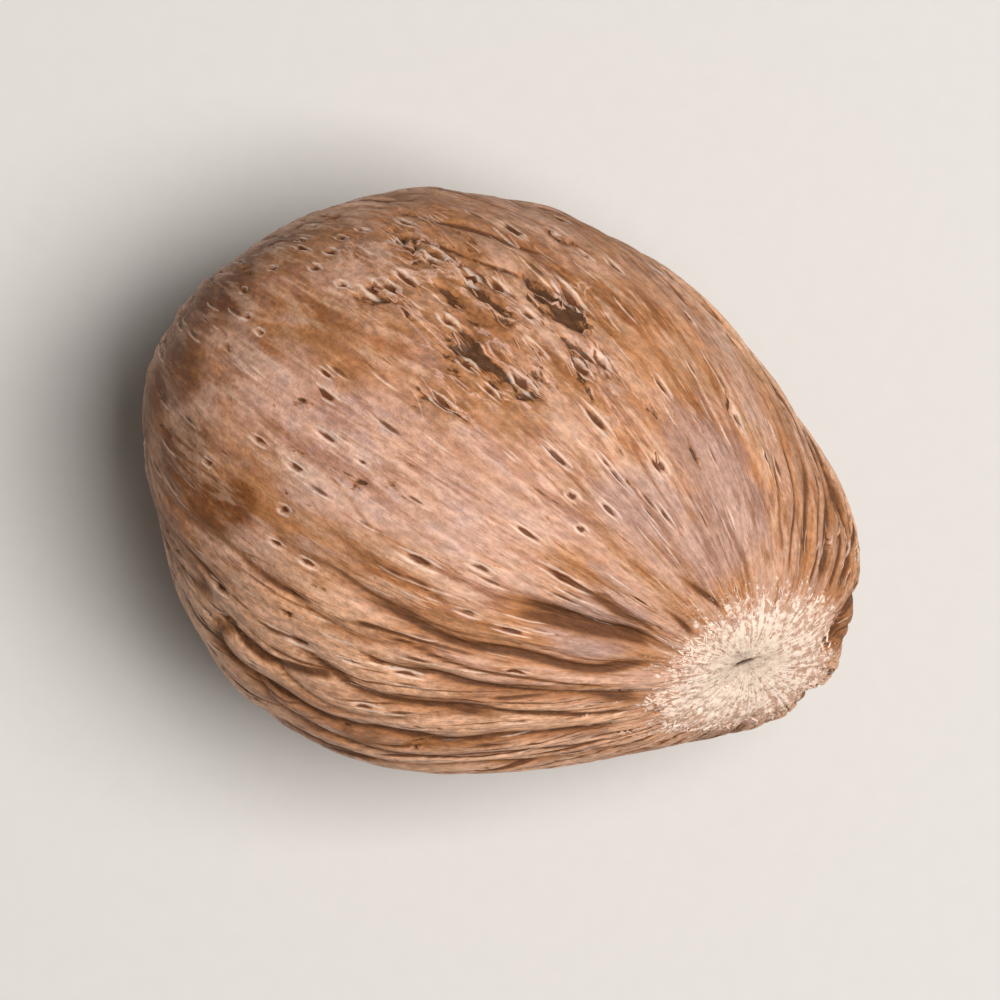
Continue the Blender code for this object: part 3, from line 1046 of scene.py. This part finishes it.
def make_strand_material(name, streaks, colour, shade):
    """Dry fibre: one colour with streaks along the grain and a darker shade here and there."""
    material, wiring, shader = blank_material(name)
    positions = positions_in_mm(wiring)
    ground = wiring.mix(wiring.rise(wiring.pattern("strand shades", positions), 0.35, 0.65), colour, shade)
    streaked, height = add_streaks(wiring, streaks, wiring.vector_attribute("grain"), ground, 0.4)
    grain_height = wiring.product(wiring.pattern("strand grain", positions), STRAND_BUMP)
    wiring.feed(streaked, shader["Base Color"])
    wiring.feed(wiring.bump(grain_height), shader["Normal"])
    wiring.feed(wiring.rise(height, 0.3, 0.7, 0.85, 0.7), shader["Roughness"])
    shader["Specular IOR Level"].default_value = 0.3
    return material


def length_property(name, description, default):
    """A length that a user may change."""
    return FloatProperty(name=name, description=description, default=default, unit="LENGTH", precision=5)


def colour_property(name, description, default):
    """A colour that a user may change."""
    return FloatVectorProperty(
        name=name, description=description, default=(*default, 1.0), subtype="COLOR", size=4, min=0, max=1
    )


class SkinSizes(bpy.types.PropertyGroup):
    """Heights and depths of the skin's fine relief."""

    swell_height: length_property("Swell height", "Height of the soft swells along the grain", 0.34 * MM)
    wrinkle_height: length_property("Wrinkle height", "Height of the wrinkles along the grain", 0.15 * MM)
    fibre_height: length_property("Fibre height", "Height of the fine fibres along the grain", 0.07 * MM)
    line_depth: length_property("Line depth", "Depth of the fine wrinkle lines", 0.12 * MM)
    hollow_depth: length_property("Hollow depth", "Depth of the hollows in the broken skin", 0.20 * MM)
    pit_depth: length_property("Pit depth", "Depth of the small pits", 0.20 * MM)
    crumb_height: length_property("Crumb height", "Height of the crumbs on the scar", 0.26 * MM)


class StrandSizes(bpy.types.PropertyGroup):
    """Sizes of the fibres and shreds that stand off the skin."""

    fibre_length: length_property("Fibre length", "Length of a fibre on the scar's rim", 0.27 * MM)
    fibre_width: length_property("Fibre width", "Width of a fibre on the scar's rim", 0.07 * MM)
    shred_length: length_property("Shred length", "Length of a papery shred of skin", 0.50 * MM)
    shred_width: length_property("Shred width", "Width of a papery shred of skin", 0.10 * MM)
    strand_thickness: length_property("Thickness", "Thickness of fibres and shreds", 0.035 * MM)
    fibre_density: FloatProperty(
        name="Fibre density", description="Fibres for each square metre of rim", default=2.4e7
    )
    shred_density: FloatProperty(
        name="Shred density", description="Shreds for each square metre of broken skin", default=8.0e5
    )
    seed: IntProperty(name="Seed", description="Which scatter of fibres and shreds is drawn", default=4)


class SkinColours(bpy.types.PropertyGroup):
    """Colours of the skin and the scar."""

    tan: colour_property("Tan", "Most of the skin", (0.50, 0.222, 0.096))
    pink: colour_property("Pink", "Clouds in the tan", (0.57, 0.322, 0.222))
    pale: colour_property("Pale", "The smooth upper face", (0.67, 0.405, 0.312))
    lilac: colour_property("Lilac", "Bloom on the smooth upper face", (0.56, 0.355, 0.315))
    ochre: colour_property("Ochre", "Blotches", (0.35, 0.148, 0.052))
    # Painted shade low on the sides, towards the floor.
    low_shade: colour_property("Brown", "Low on the sides", (0.25, 0.100, 0.038))
    # Pale ridge backs, partly painted highlight.
    crest: colour_property("Crest", "The backs of the ridges", (0.80, 0.465, 0.295))
    # Orange beside the furrows and in shallow hollows, partly painted warm shade.
    rust_and_shade: colour_property("Rust", "Beside the furrows and in shallow hollows", (0.34, 0.138, 0.048))
    dust: colour_property("Dust", "Grey dust beside the scar", (0.42, 0.256, 0.212))
    # Stained band at the blunt end, also painted shade over its limb.
    stain: colour_property("Stain", "The stained band at the blunt end", (0.215, 0.070, 0.016))
    # Dark pigment with painted shade in the furrows' bottoms; also the dark dashes.
    furrow: colour_property("Furrow", "The bottom of the furrows", (0.120, 0.044, 0.017))
    crack: colour_property("Crack", "The bottom of the broken skin's hollows", (0.080, 0.034, 0.015))
    pit: colour_property("Pit", "The bottom of the pits", (0.115, 0.036, 0.013))
    # The scar's chalk; also the painted highlight on the lips of pits and dashes.
    chalk: colour_property("Chalk", "The scar", (0.96, 0.775, 0.66))
    scar_core: colour_property("Scar core", "The middle of the scar", (1.0, 0.81, 0.66))
    scar_gap: colour_property("Scar gap", "Between the scar's crumbs", (0.44, 0.225, 0.13))


class StageSettings(bpy.types.PropertyGroup):
    """The floor, the light and the camera."""

    floor_colour: colour_property("Floor", "Colour of the floor", (0.66, 0.65, 0.635))
    key_power: FloatProperty(name="Key light", description="Power of the soft overhead light", default=1.46)
    fill_strength: FloatProperty(
        name="Fill", description="Strength of the light from all round", default=0.115
    )
    lens: FloatProperty(name="Lens", description="Focal length of the camera in millimetres", default=200.0)
    framed_width: length_property("Framed width", "Width of what the camera sees at the nutmeg", 31.0 * MM)
    camera_turn: FloatProperty(
        name="Camera turn",
        description="How far the nutmeg points down to the right",
        default=math.radians(18.8),
        subtype="ANGLE",
    )


class NUTMEG_OT_make_skin(bpy.types.Operator):
    """Makes the nutmeg's skin in the place of its plain solid"""

    bl_idname = "nutmeg.make_skin"
    bl_label = "Make skin"

    def execute(self, context):
        sizes = context.scene.nutmeg_skin_sizes
        colours = context.scene.nutmeg_colours
        material = make_skin_material(colours, make_streak_group())
        skin = add_piece("nutmeg_skin", make_kernel_mesh())
        values = {name: getattr(sizes, name.lower().replace(" ", "_")) for name in RELIEF_SIZES}
        values["Material"] = material
        shape_with(skin, make_relief_tree(colours), values)
        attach(skin, BODY)
        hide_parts(NODE)
        return {"FINISHED"}


class NUTMEG_OT_make_strands(bpy.types.Operator):
    """Scatters the frayed fibres of the scar's rim and the shreds of broken skin"""

    bl_idname = "nutmeg.make_strands"
    bl_label = "Make fibres and shreds"

    def execute(self, context):
        sizes = context.scene.nutmeg_strand_sizes
        colours = context.scene.nutmeg_colours
        skin = bpy.data.objects["nutmeg_skin"]
        tree = make_strand_tree()
        streaks = bpy.data.node_groups["grain_streaks"]
        fibres = make_strand_material("scar_fibre", streaks, colours.chalk, colours.pale)
        shreds = make_strand_material("skin_shred", streaks, colours.pink, colours.tan)
        alike = {"Thickness": sizes.strand_thickness, "Lift": STRAND_LIFT, "Seed": sizes.seed}
        kinds = {
            "scar_fibres": {
                "Where": "rim",
                "Density": sizes.fibre_density,
                "Length": sizes.fibre_length,
                "Width": sizes.fibre_width,
                "Stray": 0.8,
                "Material": fibres,
            },
            "skin_shreds": {
                "Where": "cracked",
                "Density": sizes.shred_density,
                "Length": sizes.shred_length,
                "Width": sizes.shred_width,
                "Stray": 0.3,
                "Material": shreds,
            },
        }
        for name, values in kinds.items():
            piece = add_piece(name, skin.data.copy())
            shape_with(piece, tree, {**values, **alike})
            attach(piece, BODY)
        return {"FINISHED"}


class NUTMEG_OT_set_stage(bpy.types.Operator):
    """Sets up the pale floor, the soft light and the camera straight above"""

    bl_idname = "nutmeg.set_stage"
    bl_label = "Set stage"

    def execute(self, context):
        stage = context.scene.nutmeg_stage
        low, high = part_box(NODE)
        middle = (low + high) / 2
        add_floor(stage)
        add_light("key_light", KEY_LIGHT_PLACE, middle, stage.key_power, KEY_LIGHT_SIZE)
        light_all_round(context.scene, stage.fill_strength)
        add_camera(context.scene, stage, middle)
        context.scene.view_settings.view_transform = "Standard"
        return {"FINISHED"}


def add_floor(stage):
    """A wide plain floor."""
    form = bmesh.new()
    bmesh.ops.create_grid(form, x_segments=1, y_segments=1, size=FLOOR_HALF_WIDTH)
    mesh = bpy.data.meshes.new("floor")
    form.to_mesh(mesh)
    form.free()
    material, wiring, shader = blank_material("floor_paper")
    mottle = wiring.pattern("floor mottle", positions_in_mm(wiring))
    dimmed = wiring.rise(mottle, 0.2, 0.8, 0.98, 1.0)
    wiring.feed(wiring.tinted(stage.floor_colour, dimmed), shader["Base Color"])
    shader["Roughness"].default_value = 0.9
    mesh.materials.append(material)
    add_piece("floor", mesh)


def add_light(name, place, target, power, size):
    """A square soft light that faces the target."""
    lamp = bpy.data.lights.new(name, "AREA")
    lamp.energy = power
    lamp.color = (1.0, 0.97, 0.93)
    lamp.size = size
    light = bpy.data.objects.new(name, lamp)
    light.location = place
    light.rotation_euler = (target - Vector(place)).to_track_quat("-Z", "Y").to_euler()
    bpy.context.scene.collection.objects.link(light)


def light_all_round(scene, strength):
    """Dim even light from all round."""
    world = bpy.data.worlds.new("studio")
    world.use_nodes = True
    background = world.node_tree.nodes["Background"]
    background.inputs["Color"].default_value = (1.0, 0.94, 0.87, 1.0)
    background.inputs["Strength"].default_value = strength
    scene.world = world


def add_camera(scene, stage, middle):
    """A camera straight above, turned so that the scar's end points down to the right."""
    lens = bpy.data.cameras.new("camera")
    lens.lens = stage.lens
    distance = stage.framed_width * lens.lens / lens.sensor_width
    camera = bpy.data.objects.new("camera", lens)
    camera.location = middle + Vector((0, 0, distance))
    camera.rotation_euler = (0, 0, stage.camera_turn)
    lens.clip_start = distance / 20
    lens.clip_end = distance * 20
    scene.collection.objects.link(camera)
    scene.camera = camera


class NUTMEG_PT_panel(bpy.types.Panel):
    """The nutmeg's settings and the buttons that make it."""

    bl_idname = "NUTMEG_PT_panel"
    bl_label = "Nutmeg"
    bl_space_type = "VIEW_3D"
    bl_region_type = "UI"
    bl_category = "Nutmeg"

    def draw(self, context):
        for group, operators in STEPS.items():
            column = self.layout.column(align=True)
            settings = getattr(context.scene, group)
            for name in type(settings).__annotations__:
                column.prop(settings, name)
            for operator in operators:
                column.operator(operator.bl_idname)


STEPS = {
    "nutmeg_colours": (),
    "nutmeg_skin_sizes": (NUTMEG_OT_make_skin,),
    "nutmeg_strand_sizes": (NUTMEG_OT_make_strands,),
    "nutmeg_stage": (NUTMEG_OT_set_stage,),
}
GROUPS = {
    "nutmeg_colours": SkinColours,
    "nutmeg_skin_sizes": SkinSizes,
    "nutmeg_strand_sizes": StrandSizes,
    "nutmeg_stage": StageSettings,
}
OPERATORS = (NUTMEG_OT_make_skin, NUTMEG_OT_make_strands, NUTMEG_OT_set_stage)


def register():
    for group in GROUPS.values():
        bpy.utils.register_class(group)
    for operator in OPERATORS:
        bpy.utils.register_class(operator)
    bpy.utils.register_class(NUTMEG_PT_panel)
    for name, group in GROUPS.items():
        setattr(bpy.types.Scene, name, PointerProperty(type=group))


def unregister():
    for name in GROUPS:
        delattr(bpy.types.Scene, name)
    bpy.utils.unregister_class(NUTMEG_PT_panel)
    for operator in reversed(OPERATORS):
        bpy.utils.unregister_class(operator)
    for group in reversed(list(GROUPS.values())):
        bpy.utils.unregister_class(group)


def main():
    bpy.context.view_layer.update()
    register()
    bpy.ops.nutmeg.make_skin()
    bpy.ops.nutmeg.make_strands()
    bpy.ops.nutmeg.set_stage()


if __name__ == "__main__":
    main()
